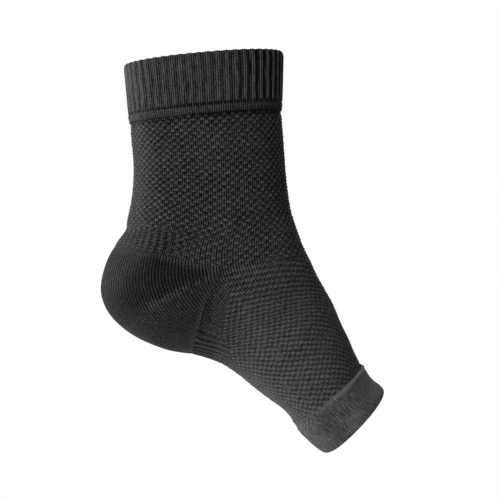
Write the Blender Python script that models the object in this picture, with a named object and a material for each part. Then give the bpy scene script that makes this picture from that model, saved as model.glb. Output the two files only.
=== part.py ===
"""A knitted compression sleeve for the ankle, open at the leg and at the toes, in the form it has when worn.

Units are metres, +Z is up and +X points to the toes. The origin is the centre of the wearer's ankle joint.
The sleeve is described by stations: oval sections that run from the leg's rim, fan round the heel and end
at the toe edge. A station has a back end (Achilles, heel or sole), a front end (shin, instep or back of
the foot) and a breadth. Every piece takes its surface from the same stations.
"""

import math
from collections import namedtuple

import bmesh
import bpy
from mathutils import Vector

# Cloth
WALL = 0.0016
CLEARANCE = 0.0003
SEAM_CLEARANCE = 0.0005

# Leg, measured along and across its own leaning axis
LEG_RISE = 0.1054
LEG_DEPTH = 0.0830
LEG_BREADTH = 0.0650
LEG_LEAN = math.radians(5.0)

# Heel and instep, measured from the centre of the ankle joint
HEEL_REACH = 0.0674
INSTEP_REACH = 0.0506
HEEL_BREADTH = 0.0720

# Foot, measured along and across its own axis, which points down to the toes
FOOT_REACH = 0.1215
FOOT_DEPTH = 0.0460
FOOT_BREADTH = 0.0900
FOOT_DROP = math.radians(50.6)

# Ribbed band round the leg, knitted double and turned over at the rim
LEG_CUFF_HEIGHT = 0.0325
LEG_CUFF_LIP = 0.0050
LEG_CUFF_LAYER = 0.0010
LEG_CUFF_ROLL = 0.0038
LEG_CUFF_ROLL_IN = 0.0011
RIB_COUNT = 50
RIB_DEPTH = 0.0006
RIB_FADE = 0.0016
LINK_GROOVE_DEPTH = 0.0005
LINK_GROOVE_WIDTH = 0.0012

# Plain band round the toe end
TOE_CUFF_LENGTH = 0.0215
TOE_CUFF_LIP = 0.0030
TOE_CUFF_LAYER = 0.0007
TOE_CUFF_ROLL = 0.0020
WELT_HEIGHT = 0.0011
WELT_WIDTH = 0.0026

# Heel pocket: shares of the way round from the back, and places between stations
COLUMNS = 56
POCKET_HALF_COLUMNS = 16
POCKET_TIP_SHARE = 0.5
LEG_EDGE_CURVE = 2.2
FOOT_EDGE_CURVE = 2.3

# Rows of faces along each piece
LEG_ROWS = 10
FOOT_ROWS = 12
POCKET_ROWS = 9
COLUMNS_PER_RIB = 3

LegRow = namedtuple("LegRow", "name back_rise back front_rise front breadth fullness squareness")
HeelRow = namedtuple("HeelRow", "name back_angle back front_angle front breadth fullness squareness")
FootRow = namedtuple("FootRow", "name back_along back front_along front breadth fullness squareness")
Station = namedtuple("Station", "back front half_breadth fullness squareness")

# Rises are shares of LEG_RISE, back and front of LEG_DEPTH, breadths of LEG_BREADTH. A fullness above 0
# makes the oval broader at its back end, and a squareness of 2 is an ellipse.
LEG_ROWS_TABLE = (
    LegRow("rim", 1.000, -0.476, 1.000, 0.559, 1.090, -0.04, 2.10),
    LegRow("cuff_middle", 0.873, -0.473, 0.873, 0.541, 1.065, -0.06, 2.10),
    LegRow("cuff_foot", 0.714, -0.474, 0.714, 0.519, 1.030, -0.08, 2.10),
    LegRow("calf", 0.640, -0.479, 0.640, 0.521, 1.015, -0.09, 2.10),
    LegRow("narrows", 0.461, -0.481, 0.461, 0.518, 1.000, -0.11, 2.10),
    LegRow("achilles", 0.307, -0.511, 0.307, 0.518, 1.020, -0.12, 2.10),
    LegRow("above_ankle", 0.190, -0.555, 0.178, 0.528, 1.055, -0.12, 2.10),
    LegRow("ankle_top", 0.144, -0.570, 0.109, 0.545, 1.080, -0.10, 2.10),
)

# Angles are in degrees about the ankle centre, 0 to the front and turning up. Back ends are shares of
# HEEL_REACH, front ends of INSTEP_REACH, breadths of HEEL_BREADTH.
HEEL_ROWS_TABLE = (
    HeelRow("ankle_bones", 175.9, 0.794, 12.9, 0.927, 1.000, -0.08, 2.10),
    HeelRow("heel_top", 187.4, 0.889, 5.2, 0.951, 1.010, -0.06, 2.12),
    HeelRow("heel_upper", 198.6, 0.973, -1.9, 1.000, 1.010, -0.04, 2.14),
    HeelRow("heel_back", 208.2, 1.000, -7.6, 1.065, 1.000, -0.02, 2.16),
    HeelRow("heel_corner", 217.9, 0.984, -12.3, 1.125, 0.985, 0.00, 2.18),
    HeelRow("heel_lower", 230.3, 0.945, -15.9, 1.188, 0.975, 0.02, 2.20),
    HeelRow("heel_pad", 244.2, 0.899, -18.8, 1.253, 0.975, 0.03, 2.20),
    HeelRow("heel_front", 260.2, 0.862, -21.3, 1.318, 0.985, 0.03, 2.20),
    HeelRow("arch_back", 273.1, 0.915, -23.6, 1.389, 1.000, 0.03, 2.20),
)

# Distances along are shares of FOOT_REACH, back (sole) and front (top) of FOOT_DEPTH, breadths of
# FOOT_BREADTH.
FOOT_ROWS_TABLE = (
    FootRow("arch", 0.502, -0.713, 0.549, 0.670, 0.830, 0.04, 2.22),
    FootRow("arch_front", 0.578, -0.674, 0.617, 0.617, 0.865, 0.05, 2.25),
    FootRow("midfoot", 0.673, -0.617, 0.690, 0.570, 0.905, 0.06, 2.28),
    FootRow("toe_pinch", 0.752, -0.561, 0.762, 0.515, 0.940, 0.07, 2.30),
    FootRow("toe_cuff_start", 0.822, -0.556, 0.822, 0.478, 0.962, 0.07, 2.30),
    FootRow("toe_cuff_bulge", 0.882, -0.568, 0.870, 0.472, 0.980, 0.07, 2.30),
    FootRow("toe_cuff_middle", 0.949, -0.545, 0.927, 0.474, 0.990, 0.06, 2.30),
    FootRow("toe_edge", 1.020, -0.490, 0.980, 0.482, 1.000, 0.05, 2.30),
)

KNIT = ("plain_knit", (0.036, 0.036, 0.038), 0.90)
TUCK_KNIT = ("tuck_knit", (0.030, 0.030, 0.032), 0.92)
RIB_KNIT = ("rib_knit", (0.032, 0.032, 0.034), 0.90)


def leg_point(rise, forward):
    """A point of the side view given along and across the leg's axis."""
    along = Vector((-math.sin(LEG_LEAN), 0.0, math.cos(LEG_LEAN)))
    across = Vector((math.cos(LEG_LEAN), 0.0, math.sin(LEG_LEAN)))
    return along * rise + across * forward


def heel_point(angle, reach):
    """A point of the side view given by its direction and distance from the ankle centre."""
    return Vector((math.cos(math.radians(angle)), 0.0, math.sin(math.radians(angle)))) * reach


def foot_point(along, upward):
    """A point of the side view given along and across the foot's axis."""
    axis = Vector((math.cos(FOOT_DROP), 0.0, -math.sin(FOOT_DROP)))
    across = Vector((math.sin(FOOT_DROP), 0.0, math.cos(FOOT_DROP)))
    return axis * along + across * upward


def make_stations():
    """All stations from the leg's rim to the toe edge, with the names of their rows."""
    names, stations = [], []
    for row in LEG_ROWS_TABLE:
        back = leg_point(row.back_rise * LEG_RISE, row.back * LEG_DEPTH)
        front = leg_point(row.front_rise * LEG_RISE, row.front * LEG_DEPTH)
        half_breadth = row.breadth * LEG_BREADTH / 2
        names.append(row.name)
        stations.append(Station(back, front, half_breadth, row.fullness, row.squareness))
    for row in HEEL_ROWS_TABLE:
        back = heel_point(row.back_angle, row.back * HEEL_REACH)
        front = heel_point(row.front_angle, row.front * INSTEP_REACH)
        half_breadth = row.breadth * HEEL_BREADTH / 2
        names.append(row.name)
        stations.append(Station(back, front, half_breadth, row.fullness, row.squareness))
    for row in FOOT_ROWS_TABLE:
        back = foot_point(row.back_along * FOOT_REACH, row.back * FOOT_DEPTH)
        front = foot_point(row.front_along * FOOT_REACH, row.front * FOOT_DEPTH)
        half_breadth = row.breadth * FOOT_BREADTH / 2
        names.append(row.name)
        stations.append(Station(back, front, half_breadth, row.fullness, row.squareness))
    return names, stations


STATION_NAMES, STATIONS = make_stations()
LAST_STATION = len(STATIONS) - 1


def smooth(before, here, there, after, share):
    """The Catmull-Rom curve through here and there, for numbers and for vectors."""
    slope_here = (there - before) * 0.5
    slope_there = (after - here) * 0.5
    square, cube = share * share, share * share * share
    return (
        here * (2 * cube - 3 * square + 1)
        + slope_here * (cube - 2 * square + share)
        + there * (3 * square - 2 * cube)
        + slope_there * (cube - square)
    )


def station_at(place):
    """The section at a place between stations. Past either end it follows the last two stations on."""
    step = min(max(math.floor(place), 0), LAST_STATION - 1)
    share = place - step
    here, there = STATIONS[step], STATIONS[step + 1]
    before = STATIONS[step - 1] if step > 0 else None
    after = STATIONS[step + 2] if step + 2 <= LAST_STATION else None
    values = []
    for field in Station._fields:
        a, b = getattr(here, field), getattr(there, field)
        first = getattr(before, field) if before else a * 2 - b
        last = getattr(after, field) if after else b * 2 - a
        values.append(smooth(first, a, b, last, share))
    return Station(*values)


RING_SAMPLES = 180


def half_oval(station):
    """Points of one side of the oval, from its back end to its front end, close together."""
    middle = (station.back + station.front) / 2
    half_depth = (station.front - station.back) / 2
    power = 2 / station.squareness
    points = []
    for sample in range(RING_SAMPLES + 1):
        angle = math.pi * sample / RING_SAMPLES
        cosine, sine = math.cos(angle), max(math.sin(angle), 0.0)
        forward = -math.copysign(abs(cosine) ** power, cosine)
        sideways = sine**power * (1 + station.fullness * cosine)
        points.append(middle + half_depth * forward + Vector((0.0, -sideways * station.half_breadth, 0.0)))
    return points


OVALS = {}


def oval_at(place):
    """The half oval at a place and the length of cloth from its back end to each of its points."""
    key = round(place, 9)
    if key not in OVALS:
        points = half_oval(station_at(place))
        lengths = [0.0]
        for first, second in zip(points, points[1:]):
            lengths.append(lengths[-1] + (second - first).length)
        OVALS[key] = (points, lengths)
    return OVALS[key]


def form(place, around):
    """The sleeve's surface. Around is 0 at the back or sole, 0.5 at the front, and negative on the far side."""
    points, lengths = oval_at(place)
    side = -1.0 if around < 0 else 1.0
    wanted = min(abs(around) * 2, 1.0) * lengths[-1]
    low, high = 0, RING_SAMPLES
    while high - low > 1:
        middle = (low + high) // 2
        if lengths[middle] <= wanted:
            low = middle
        else:
            high = middle
    share = (wanted - lengths[low]) / (lengths[high] - lengths[low])
    point = points[low].lerp(points[high], share)
    return Vector((point.x, point.y * side, point.z))


def wrapped(around):
    """The same place round the sleeve, between -0.5 and 0.5."""
    return (around + 0.5) % 1.0 - 0.5


PROBE_AROUND = 0.004
PROBE_PLACE = 0.02


def outward(place, around):
    """The direction that points out of the surface."""
    along = form(place + PROBE_PLACE, around) - form(place - PROBE_PLACE, around)
    across = form(place, wrapped(around + PROBE_AROUND)) - form(place, wrapped(around - PROBE_AROUND))
    return along.cross(across).normalized()


def lifted(place, around, lift):
    """A point lift outside the surface, or inside it where lift is negative."""
    return form(place, around) + outward(place, around) * lift


def moved(place, around, distance):
    """The place that lies distance further along the cloth, towards the toes."""
    stretch = (form(place + PROBE_PLACE, around) - form(place - PROBE_PLACE, around)).length / (2 * PROBE_PLACE)
    return place + distance / stretch


def find_place(measure, value, low, high):
    """The place between low and high where a measure that rises or falls steadily has a value."""
    rising = measure(high) > measure(low)
    for _ in range(40):
        middle = (low + high) / 2
        if (measure(middle) < value) == rising:
            low = middle
        else:
            high = middle
    return (low + high) / 2


def place_of(name):
    return STATION_NAMES.index(name)


def rise_at(place):
    """The height of a section's middle along the leg's axis."""
    station = station_at(place)
    middle = (station.back + station.front) / 2
    return middle.dot(leg_point(1.0, 0.0))


def reach_at(place):
    """The distance of a section's middle along the foot's axis."""
    station = station_at(place)
    middle = (station.back + station.front) / 2
    return middle.dot(foot_point(1.0, 0.0))


def leg_place(below_rim):
    """The place at a distance below the leg's rim."""
    return find_place(rise_at, LEG_RISE - below_rim, 0.0, place_of("ankle_top"))


def toe_place(behind_edge):
    """The place at a distance behind the toe edge."""
    return find_place(reach_at, FOOT_REACH - behind_edge, place_of("arch_back"), LAST_STATION)


# The heel pocket's tips lie on one station. Its edges curve away from it towards the back and the sole.
POCKET_TIP = place_of("heel_upper") + 0.2
LEG_EDGE_BACK = place_of("ankle_bones") + 0.25
FOOT_EDGE_SOLE = place_of("heel_pad") + 0.9


def pocket_share(around):
    """How far a column is from the back, as a share of the way to the pocket's tip."""
    return min(abs(around) * COLUMNS / POCKET_HALF_COLUMNS, 1.0)


def leg_edge(around):
    """The place where the leg's cloth ends, at the pocket or at the foot's cloth."""
    return LEG_EDGE_BACK + (POCKET_TIP - LEG_EDGE_BACK) * pocket_share(around) ** LEG_EDGE_CURVE


def foot_edge(around):
    """The place where the foot's cloth begins, at the pocket or at the leg's cloth."""
    return FOOT_EDGE_SOLE + (POCKET_TIP - FOOT_EDGE_SOLE) * pocket_share(around) ** FOOT_EDGE_CURVE


def material(finish):
    """A plain finish for one kind of knit."""
    name, colour, roughness = finish
    made = bpy.data.materials.get(name) or bpy.data.materials.new(name)
    made.use_nodes = True
    shader = made.node_tree.nodes["Principled BSDF"]
    shader.inputs["Base Color"].default_value = (*colour, 1.0)
    shader.inputs["Roughness"].default_value = roughness
    shader.inputs["Metallic"].default_value = 0.0
    made.diffuse_color = (*colour, 1.0)
    return made


def finished(name, shape, finish):
    """An object made of a shape, shaded smooth."""
    mesh = bpy.data.meshes.new(name)
    shape.to_mesh(mesh)
    shape.free()
    mesh.shade_smooth()
    mesh.materials.append(material(finish))
    made = bpy.data.objects.new(name, mesh)
    bpy.context.scene.collection.objects.link(made)
    return made


def ring_of_cloth(name, columns, profile, finish):
    """A closed ring swept from a profile: a list of functions that give a point for a place round the sleeve."""
    shape = bmesh.new()
    loops = []
    for point_at in profile:
        verts = [shape.verts.new(point_at(wrapped(column / columns))) for column in range(columns)]
        loops.append([shape.edges.new((verts[i - 1], verts[i])) for i in range(columns)])
    for first, second in zip(loops, loops[1:] + loops[:1]):
        bmesh.ops.bridge_loops(shape, edges=first + second)
    bmesh.ops.triangulate(shape, faces=shape.faces)
    bmesh.ops.recalc_face_normals(shape, faces=shape.faces)
    return finished(name, shape, finish)


def sheet_of_cloth(name, arounds, first_edge, last_edge, rows, closed, finish):
    """A sheet between two edges, its columns along the cloth, thickened inwards to the wall."""
    shape = bmesh.new()
    grid = []
    for around in arounds:
        start, stop = first_edge(around), last_edge(around)
        places = [start + (stop - start) * row / rows for row in range(rows + 1)]
        grid.append([shape.verts.new(form(place, around)) for place in places])
    pairs = list(zip(grid, grid[1:] + grid[:1])) if closed else list(zip(grid, grid[1:]))
    for left, right in pairs:
        for row in range(rows):
            shape.faces.new((left[row], left[row + 1], right[row + 1], right[row]))
    bmesh.ops.triangulate(shape, faces=shape.faces)
    made = finished(name, shape, finish)
    wall = made.modifiers.new("wall", "SOLIDIFY")
    wall.thickness = WALL
    wall.offset = -1.0
    wall.use_even_offset = True
    return made


def all_round():
    return [wrapped(column / COLUMNS) for column in range(COLUMNS)]


def rib(around, columns):
    """1 on a rib and 0 in the narrow groove between two ribs."""
    column = round(around * columns) % COLUMNS_PER_RIB
    return 0.0 if column == 0 else 1.0


def make_leg_cuff():
    """The ribbed band: a turned-over double layer with a single lip that covers the top of the leg."""
    columns = RIB_COUNT * COLUMNS_PER_RIB
    outside = CLEARANCE + LEG_CUFF_LAYER
    groove_top = LEG_CUFF_HEIGHT - LEG_CUFF_LIP - LINK_GROOVE_WIDTH / 2
    groove_foot = groove_top + LINK_GROOVE_WIDTH
    seat = LEG_CUFF_HEIGHT - LEG_CUFF_LIP

    def at(below_rim, lift, ribbed=0.0):
        place = leg_place(below_rim)
        return lambda around: lifted(place, around, lift - ribbed * RIB_DEPTH * (1 - rib(around, columns)))

    middle = outside - (WALL + outside) / 2
    profile = (
        at(LEG_CUFF_HEIGHT, CLEARANCE),
        at(LEG_CUFF_HEIGHT, outside),
        at(groove_foot, outside),
        at((groove_top + groove_foot) / 2, outside - LINK_GROOVE_DEPTH),
        at(groove_top, outside),
        at(groove_top - RIB_FADE, outside, 1.0),
        at(LEG_CUFF_ROLL, outside, 1.0),
        at(LEG_CUFF_ROLL * 0.3, outside - LEG_CUFF_ROLL_IN * 0.5, 0.8),
        at(0.0, middle, 0.3),
        at(LEG_CUFF_ROLL * 0.5, -WALL),
        at(seat, -WALL),
        at(seat, CLEARANCE),
    )
    return ring_of_cloth("leg_cuff", columns, profile, RIB_KNIT)


def welt(around):
    """The welt stands up over the top of the foot and fades out down its sides."""
    share = min(max((abs(around) - 0.26) / 0.10, 0.0), 1.0)
    return share * share * (3 - 2 * share)


def make_toe_cuff():
    """The plain band at the toe end, with a lip over the foot's cloth and a raised welt along the lip."""
    outside = CLEARANCE + TOE_CUFF_LAYER
    seat = TOE_CUFF_LENGTH - TOE_CUFF_LIP

    def at(behind_edge, lift, raised=0.0):
        place = toe_place(behind_edge)
        return lambda around: lifted(place, around, lift + raised * WELT_HEIGHT * welt(around))

    middle = outside - (WALL + outside) / 2
    profile = (
        at(TOE_CUFF_LENGTH, CLEARANCE),
        at(TOE_CUFF_LENGTH, outside, 0.4),
        at(TOE_CUFF_LENGTH - WELT_WIDTH / 2, outside, 1.0),
        at(TOE_CUFF_LENGTH - WELT_WIDTH, outside),
        at(TOE_CUFF_LENGTH * 0.55, outside),
        at(TOE_CUFF_ROLL, outside),
        at(TOE_CUFF_ROLL * 0.25, outside - TOE_CUFF_LAYER * 0.5),
        at(0.0, middle),
        at(TOE_CUFF_ROLL * 0.4, -WALL),
        at(seat, -WALL),
        at(seat, CLEARANCE),
    )
    return ring_of_cloth("toe_cuff", COLUMNS, profile, KNIT)


def make_leg():
    """The tuck-stitch tube of the leg, from under the ribbed band to the heel pocket and the instep."""
    top = leg_place(LEG_CUFF_HEIGHT - LEG_CUFF_LIP + CLEARANCE)
    return sheet_of_cloth(
        "leg_sleeve", all_round(), lambda around: top, leg_edge, LEG_ROWS, True, TUCK_KNIT
    )


def make_foot():
    """The tuck-stitch tube of the foot, from the leg and the heel pocket to under the toe band."""
    end = toe_place(TOE_CUFF_LENGTH - TOE_CUFF_LIP + CLEARANCE)

    def start(around):
        return moved(foot_edge(around), around, SEAM_CLEARANCE)

    return sheet_of_cloth(
        "foot_sleeve", all_round(), start, lambda around: end, FOOT_ROWS, True, TUCK_KNIT
    )


def make_heel_pocket():
    """The plain-knit cup that the heel sits in. It narrows to a tip on each side of the ankle."""
    tip = POCKET_HALF_COLUMNS - POCKET_TIP_SHARE
    steps = range(1 - POCKET_HALF_COLUMNS, POCKET_HALF_COLUMNS)
    arounds = [step / COLUMNS for step in (-tip, *steps, tip)]

    def start(around):
        return moved(leg_edge(around), around, SEAM_CLEARANCE)

    def stop(around):
        return moved(foot_edge(around), around, -SEAM_CLEARANCE)

    return sheet_of_cloth("heel_pocket", arounds, start, stop, POCKET_ROWS, False, KNIT)


def main():
    for leftover in list(bpy.data.objects):
        bpy.data.objects.remove(leftover)
    make_leg_cuff()
    make_leg()
    make_heel_pocket()
    make_foot()
    make_toe_cuff()


main()
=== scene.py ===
# %% [markdown]
# # A knitted ankle sleeve in Blender
#
# The object is a black compression sleeve for the ankle, held in the form it has when worn. This lesson
# dresses its plain solids with real knit: ribs, tuck stitches, a plain heel and a toe band. Everything is
# in metres, with +Z up the leg and +X to the toes.

# %% Load the model
import math
from collections import namedtuple

import bpy
import numpy as np
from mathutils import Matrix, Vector


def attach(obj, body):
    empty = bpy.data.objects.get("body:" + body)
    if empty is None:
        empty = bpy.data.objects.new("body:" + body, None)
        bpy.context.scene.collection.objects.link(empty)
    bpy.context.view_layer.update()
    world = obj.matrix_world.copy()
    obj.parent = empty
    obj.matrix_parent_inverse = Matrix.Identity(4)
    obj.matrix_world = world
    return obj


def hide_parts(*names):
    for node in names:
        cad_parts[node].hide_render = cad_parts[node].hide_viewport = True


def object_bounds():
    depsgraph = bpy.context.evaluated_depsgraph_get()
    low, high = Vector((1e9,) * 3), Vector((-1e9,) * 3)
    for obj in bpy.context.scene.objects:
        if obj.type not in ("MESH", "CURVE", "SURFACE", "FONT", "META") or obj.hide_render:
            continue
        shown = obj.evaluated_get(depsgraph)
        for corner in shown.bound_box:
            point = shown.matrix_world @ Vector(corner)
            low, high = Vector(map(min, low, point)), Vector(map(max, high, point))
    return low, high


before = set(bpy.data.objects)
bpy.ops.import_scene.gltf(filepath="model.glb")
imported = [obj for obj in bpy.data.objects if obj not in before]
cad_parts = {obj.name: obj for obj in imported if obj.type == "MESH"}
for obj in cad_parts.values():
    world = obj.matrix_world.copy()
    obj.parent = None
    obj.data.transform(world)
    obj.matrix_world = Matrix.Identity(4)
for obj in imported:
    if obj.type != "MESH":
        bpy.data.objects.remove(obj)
model_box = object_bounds()
bpy.ops.object.select_all(action="DESELECT")
MM = 0.001
print("pieces to dress:", sorted(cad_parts))

# %% [markdown]
# ## The camera
#
# The sleeve is seen straight from its side, from about a metre away. At that distance a normal lens would
# show too much, so a long one is used: its focal length follows from how wide a strip of the object's plane
# fills the square picture.

# %% Camera
CAMERA_DISTANCE = 1.0
PICTURE_WIDTH = 0.275
PICTURE_CENTRE = Vector((0.0198, 0.0, 0.0))

camera_data = bpy.data.cameras.new("camera")
camera_data.lens = camera_data.sensor_width * CAMERA_DISTANCE / PICTURE_WIDTH
camera = bpy.data.objects.new("camera", camera_data)
camera.location = PICTURE_CENTRE + Vector((0.0, -CAMERA_DISTANCE, 0.0))
camera.rotation_euler = (math.radians(90), 0.0, 0.0)
bpy.context.scene.collection.objects.link(camera)
bpy.context.scene.camera = camera
print("lens:", round(camera_data.lens, 1), "mm")

# %% [markdown]
# ## The light
#
# Black knit shows its relief only where light rakes across it. A soft light behind the heel and one below it
# make the back of the sleeve and its sole catch the light, while the shin stays dark. A third, on the near
# side, opens the shadows, a weak one lights the toe band, and a broad one gives the far side its form. The
# surroundings are seen as plain white, but light the sleeve with a fifth of that, so its black stays deep.

# %% Lights
def add_light(name, place, aim, width, power):
    """A square soft light that points from its place to its aim."""
    data = bpy.data.lights.new(name, "AREA")
    data.size = width
    data.energy = power
    light = bpy.data.objects.new(name, data)
    light.location = place
    light.rotation_euler = (Vector(aim) - Vector(place)).to_track_quat("-Z", "Y").to_euler()
    bpy.context.scene.collection.objects.link(light)
    return light


add_light("heel_side_light", (-1.5, 0.75, 0.3), (0.0, 0.0, 0.0), 0.5, 38.0)
add_light("sole_light", (-0.7, 0.35, -1.3), (0.02, 0.0, -0.05), 0.5, 33.0)
add_light("front_light", (-0.9, -1.5, 0.5), (0.0, 0.0, 0.0), 0.5, 29.0)
add_light("toe_light", (1.1, -1.2, -0.8), (0.06, 0.0, -0.09), 0.4, 7.0)
add_light("back_light", (0.4, 1.6, 0.8), (0.0, 0.0, 0.0), 1.0, 12.0)

# %% Surroundings
SURROUNDINGS_LIGHT = 0.2
SURROUNDINGS_SEEN = 1.0

world = bpy.data.worlds.new("studio")
world.use_nodes = True
surroundings = world.node_tree.nodes["Background"]
surroundings.inputs["Color"].default_value = (1.0, 1.0, 1.0, 1.0)
seen = world.node_tree.nodes.new("ShaderNodeLightPath")
brightness = world.node_tree.nodes.new("ShaderNodeMapRange")
brightness.inputs["To Min"].default_value = SURROUNDINGS_LIGHT
brightness.inputs["To Max"].default_value = SURROUNDINGS_SEEN
world.node_tree.links.new(seen.outputs["Is Camera Ray"], brightness.inputs["Value"])
world.node_tree.links.new(brightness.outputs["Result"], surroundings.inputs["Strength"])
bpy.context.scene.world = world
bpy.context.scene.view_settings.view_transform = "Standard"
print("surroundings light the sleeve at", SURROUNDINGS_LIGHT)

# %% [markdown]
# ## Two small helpers for materials
#
# Colours are written as the hex values that a colour picker gives. Blender mixes in linear light, so one
# function turns them. The other adds a node with its settings and its links, which keeps each material
# short to read.

# %% Colour and node helpers
def linear(code):
    """A hex colour such as '#2b2b2d' as linear values with alpha."""
    channels = [int(code[i : i + 2], 16) / 255 for i in (1, 3, 5)]
    return (*[c / 12.92 if c <= 0.04045 else ((c + 0.055) / 1.055) ** 2.4 for c in channels], 1.0)


def add_node(tree, kind, settings=None, **links):
    """Adds a node. Settings are its own values, links are its inputs, by name or, as in i0, by number."""
    node = tree.nodes.new(kind)
    for key, value in (settings or {}).items():
        setattr(node, key, value)
    for key, value in links.items():
        numbered = key[0] == "i" and key[1:].isdigit()
        socket = node.inputs[int(key[1:]) if numbered else key.replace("_", " ")]
        if isinstance(value, bpy.types.NodeSocket):
            tree.links.new(value, socket)
        else:
            socket.default_value = value
    return node


print("black yarn, linear:", [round(c, 4) for c in linear("#2b2b2d")])

# %% [markdown]
# ## The floor
#
# The sleeve is held up by its wearer's ankle and stands on nothing, so a pale round floor lies well below
# it and only takes its soft shadow.

# %% Floor
FLOOR_DROP = 0.24
FLOOR_RADIUS = 1.35

floor_height = model_box[0][2] - FLOOR_DROP
floor_place = (0, 0, floor_height)
bpy.ops.mesh.primitive_circle_add(vertices=96, radius=FLOOR_RADIUS, fill_type="NGON", location=floor_place)
floor = bpy.context.object
floor.name = "floor"
bpy.ops.object.transform_apply(location=True, rotation=False, scale=False)
bpy.ops.object.select_all(action="DESELECT")
painted_floor = bpy.data.materials.new("matt_white_paint")
painted_floor.use_nodes = True
paint = painted_floor.node_tree.nodes["Principled BSDF"]
paint.inputs["Base Color"].default_value = linear("#f2f2f2")
paint.inputs["Roughness"].default_value = 0.9
floor.data.materials.append(painted_floor)
print("floor at", round(floor_height, 3), "m")

# %% [markdown]
# ## The form of the foot and leg
#
# A worn sleeve has the form of what is in it. That form is described as someone measures a leg: by oval
# sections from the calf, round the heel, to the ball of the foot. Each has a back end, a front end and a
# breadth, given as shares of a few body sizes. The knit is laid on a smooth surface through all of them.

# %% Body sizes and sections
WALL = 1.6 * MM
CLEARANCE = 0.3 * MM
LEG_RISE = 105.4 * MM
LEG_DEPTH = 83.0 * MM
LEG_BREADTH = 65.0 * MM
LEG_LEAN = math.radians(5.0)
HEEL_REACH = 67.4 * MM
INSTEP_REACH = 50.6 * MM
HEEL_BREADTH = 72.0 * MM
FOOT_REACH = 121.5 * MM
FOOT_DEPTH = 46.0 * MM
FOOT_BREADTH = 90.0 * MM
FOOT_DROP = math.radians(50.6)

Row = namedtuple("Row", "name back_at back front_at front breadth fullness squareness")
LEG_TABLE = (
    Row("rim", 1.000, -0.476, 1.000, 0.559, 1.090, -0.04, 2.10),
    Row("cuff_middle", 0.873, -0.473, 0.873, 0.541, 1.065, -0.06, 2.10),
    Row("cuff_foot", 0.714, -0.474, 0.714, 0.519, 1.030, -0.08, 2.10),
    Row("calf", 0.640, -0.479, 0.640, 0.521, 1.015, -0.09, 2.10),
    Row("narrows", 0.461, -0.481, 0.461, 0.518, 1.000, -0.11, 2.10),
    Row("achilles", 0.307, -0.511, 0.307, 0.518, 1.020, -0.12, 2.10),
    Row("above_ankle", 0.190, -0.555, 0.178, 0.528, 1.055, -0.12, 2.10),
    Row("ankle_top", 0.144, -0.570, 0.109, 0.545, 1.080, -0.10, 2.10),
)
HEEL_TABLE = (
    Row("ankle_bones", 175.9, 0.794, 12.9, 0.927, 1.000, -0.08, 2.10),
    Row("heel_top", 187.4, 0.889, 5.2, 0.951, 1.010, -0.06, 2.12),
    Row("heel_upper", 198.6, 0.973, -1.9, 1.000, 1.010, -0.04, 2.14),
    Row("heel_back", 208.2, 1.000, -7.6, 1.065, 1.000, -0.02, 2.16),
    Row("heel_corner", 217.9, 0.984, -12.3, 1.125, 0.985, 0.00, 2.18),
    Row("heel_lower", 230.3, 0.945, -15.9, 1.188, 0.975, 0.02, 2.20),
    Row("heel_pad", 244.2, 0.899, -18.8, 1.253, 0.975, 0.03, 2.20),
    Row("heel_front", 260.2, 0.862, -21.3, 1.318, 0.985, 0.03, 2.20),
    Row("arch_back", 273.1, 0.915, -23.6, 1.389, 1.000, 0.03, 2.20),
)
FOOT_TABLE = (
    Row("arch", 0.502, -0.713, 0.549, 0.670, 0.830, 0.04, 2.22),
    Row("arch_front", 0.578, -0.674, 0.617, 0.617, 0.865, 0.05, 2.25),
    Row("midfoot", 0.673, -0.617, 0.690, 0.570, 0.905, 0.06, 2.28),
    Row("toe_pinch", 0.752, -0.561, 0.762, 0.515, 0.940, 0.07, 2.30),
    Row("toe_cuff_start", 0.822, -0.556, 0.822, 0.478, 0.962, 0.07, 2.30),
    Row("toe_cuff_bulge", 0.882, -0.568, 0.870, 0.472, 0.980, 0.07, 2.30),
    Row("toe_cuff_middle", 0.949, -0.545, 0.927, 0.474, 0.990, 0.06, 2.30),
    Row("toe_edge", 1.020, -0.490, 0.980, 0.482, 1.000, 0.05, 2.30),
)


def leg_point(rise, forward):
    """A point of the side view, along and across the leg's leaning axis."""
    sine, cosine = math.sin(LEG_LEAN), math.cos(LEG_LEAN)
    return (forward * cosine - rise * sine, rise * cosine + forward * sine)


def heel_point(degrees, reach):
    """A point of the side view, by direction and distance from the ankle's centre."""
    return (math.cos(math.radians(degrees)) * reach, math.sin(math.radians(degrees)) * reach)


def foot_point(along, upward):
    """A point of the side view, along and across the foot's axis."""
    sine, cosine = math.sin(FOOT_DROP), math.cos(FOOT_DROP)
    return (along * cosine + upward * sine, upward * cosine - along * sine)


def section_values():
    """A row of numbers for each section: back x and z, front x and z, half breadth, fullness, squareness."""
    values = []
    for row in LEG_TABLE:
        back = leg_point(row.back_at * LEG_RISE, row.back * LEG_DEPTH)
        front = leg_point(row.front_at * LEG_RISE, row.front * LEG_DEPTH)
        values.append((*back, *front, row.breadth * LEG_BREADTH / 2, row.fullness, row.squareness))
    for row in HEEL_TABLE:
        back = heel_point(row.back_at, row.back * HEEL_REACH)
        front = heel_point(row.front_at, row.front * INSTEP_REACH)
        values.append((*back, *front, row.breadth * HEEL_BREADTH / 2, row.fullness, row.squareness))
    for row in FOOT_TABLE:
        back = foot_point(row.back_at * FOOT_REACH, row.back * FOOT_DEPTH)
        front = foot_point(row.front_at * FOOT_REACH, row.front * FOOT_DEPTH)
        values.append((*back, *front, row.breadth * FOOT_BREADTH / 2, row.fullness, row.squareness))
    return np.array(values)


SECTION_NAMES = [row.name for row in LEG_TABLE + HEEL_TABLE + FOOT_TABLE]
SECTIONS = section_values()
LAST_SECTION = len(SECTIONS) - 1
print(len(SECTIONS), "sections from", SECTION_NAMES[0], "to", SECTION_NAMES[-1])

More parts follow.
